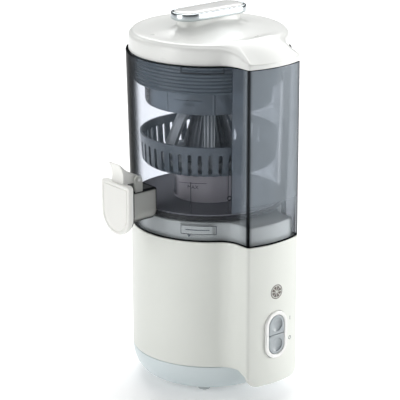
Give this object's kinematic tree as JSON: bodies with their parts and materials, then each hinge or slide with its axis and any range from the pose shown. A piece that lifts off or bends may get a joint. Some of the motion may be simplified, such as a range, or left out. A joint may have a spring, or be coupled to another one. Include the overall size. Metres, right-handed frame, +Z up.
{
  "type": "centrifugal juicer",
  "caption": "Upright kitchen juicer: motor base, clear lift-off container, spinning slotted basket with a reamer cone, spout with flap, lid with pusher, push buttons.",
  "frame": {"origin": "centre of the bounding box's bottom face, on the surface that the feet stand on", "axes": "+Z up; -Y is the front, the side of the tower's face and the buttons; -X is the spout's side"},
  "size_m": [0.2012, 0.188, 0.3845],
  "materials": {
    "housing_cream": "moulded, satin",
    "base_blue_grey": "satin blue-silver paint",
    "cover_grey": "moulded, matt",
    "foot_rubber": "matt",
    "screw_steel": "bright zinc",
    "gland_rubber": "matt",
    "lug_cream": "moulded",
    "plate_steel": "pressed sheet",
    "bearing_bronze": "sintered",
    "seal_rubber": "matt",
    "stator_iron": "laminated",
    "shaft_steel": "ground",
    "armature_copper": "wound and varnished",
    "commutator_copper": "turned",
    "fan_plastic": "moulded",
    "gear_brass": "cut",
    "gear_nylon": "moulded",
    "coupling_nylon": "moulded",
    "bezel_white": "polished",
    "button_grey": "satin",
    "board_green": "laminate",
    "switch_black": "moulded",
    "container_smoke": "clear, smoked",
    "bowl_smoke": "clear, smoked",
    "spout_smoke": "clear, smoked",
    "flap_white": "satin",
    "basket_grey": "satin",
    "hub_plastic": "moulded",
    "reamer_grey": "satin",
    "lid_cream": "satin",
    "skirt_smoke": "clear, dark smoked, ribbed",
    "collar_smoke": "clear, smoked",
    "pusher_cream": "satin",
    "trim_chrome": "polished",
    "cap_white": "satin"
  },
  "bodies": {
    "base": {"motor_housing": "housing_cream", "base_bowl": "base_blue_grey", "bottom_cover": "cover_grey", "tower_bottom_cover": "cover_grey", "cord_gland": "gland_rubber", "lock_lug": "lug_cream", "gearbox_plate": "plate_steel", "lower_bearing": "bearing_bronze", "upper_bearing": "bearing_bronze", "motor_bearing": "bearing_bronze", "shaft_seal": "seal_rubber", "motor_stator": "stator_iron", "motor_bracket": "plate_steel", "switch_bezel": "bezel_white", "switch_board": "board_green", "switch_block_upper": "switch_black", "switch_block_lower": "switch_black", "interlock_switch": "switch_black", "foot_1": "foot_rubber", "cover_screw_1": "screw_steel", "foot_2": "foot_rubber", "cover_screw_2": "screw_steel", "foot_3": "foot_rubber", "cover_screw_3": "screw_steel", "foot_4": "foot_rubber", "cover_screw_4": "screw_steel", "plate_screw_1": "screw_steel", "plate_screw_2": "screw_steel", "plate_screw_3": "screw_steel", "motor_screw_1": "screw_steel", "board_screw_1": "screw_steel", "motor_screw_2": "screw_steel", "board_screw_2": "screw_steel"},
    "container": {"container_shell": "container_smoke", "juice_bowl": "bowl_smoke", "bowl_seal": "seal_rubber", "spout_duct": "spout_smoke", "flap_pin": "shaft_steel"},
    "basket": {"strainer_basket": "basket_grey", "hub_socket": "hub_plastic", "reamer_outer": "reamer_grey", "reamer_inner": "reamer_grey"},
    "drive": {"output_shaft": "shaft_steel", "drive_gear": "gear_nylon", "drive_coupling": "coupling_nylon"},
    "rotor": {"motor_shaft": "shaft_steel", "armature": "armature_copper", "commutator": "commutator_copper", "motor_fan": "fan_plastic", "pinion": "gear_brass"},
    "lid": {"lid_top": "lid_cream", "lid_skirt": "skirt_smoke", "feed_collar": "collar_smoke"},
    "pusher": {"pusher_stem": "pusher_cream", "pusher_trim": "trim_chrome", "pusher_cap": "cap_white"},
    "flap": {"flap_plate": "flap_white", "flap_seal": "seal_rubber"},
    "upper_button": {"button_upper": "button_grey"},
    "lower_button": {"button_lower": "button_grey"}
  },
  "joints": [
    {"name": "container_lift", "type": "slide", "parent": "base", "child": "container", "axis": [0, 0, 1], "range_m": [0, 0.1]},
    {"name": "lid_lift", "type": "slide", "parent": "container", "child": "lid", "axis": [0, 0, 1], "range_m": [0, 0.07]},
    {"name": "pusher_lift", "type": "slide", "parent": "lid", "child": "pusher", "axis": [0, 0, 1], "range_m": [0, 0.06]},
    {"name": "basket_spin", "type": "hinge", "parent": "container", "child": "basket", "pos_m": [0.0184, 0.01185, 0.235], "axis": [0, 0, 1], "continuous": true},
    {"name": "drive_spin", "type": "hinge", "parent": "base", "child": "drive", "pos_m": [0.0184, 0.01185, 0.118], "axis": [0, 0, 1], "continuous": true},
    {"name": "rotor_spin", "type": "hinge", "parent": "base", "child": "rotor", "pos_m": [0.0184, 0.047, 0.084], "axis": [0, 0, 1], "continuous": true},
    {"name": "flap_hinge", "type": "hinge", "parent": "container", "child": "flap", "pos_m": [-0.0811, 0.01185, 0.229], "axis": [0, 1, 0], "range_deg": [0, 60]},
    {"name": "upper_button_press", "type": "slide", "parent": "base", "child": "upper_button", "axis": [0, 1, 0], "range_m": [0, 0.002], "stiffness_N_per_m": 400},
    {"name": "lower_button_press", "type": "slide", "parent": "base", "child": "lower_button", "axis": [0, 1, 0], "range_m": [0, 0.002], "stiffness_N_per_m": 400}
  ],
  "couplings": [
    {"joint": "drive_spin", "follows": "basket_spin", "ratio": 1},
    {"joint": "rotor_spin", "follows": "basket_spin", "ratio": -3}
  ]
}
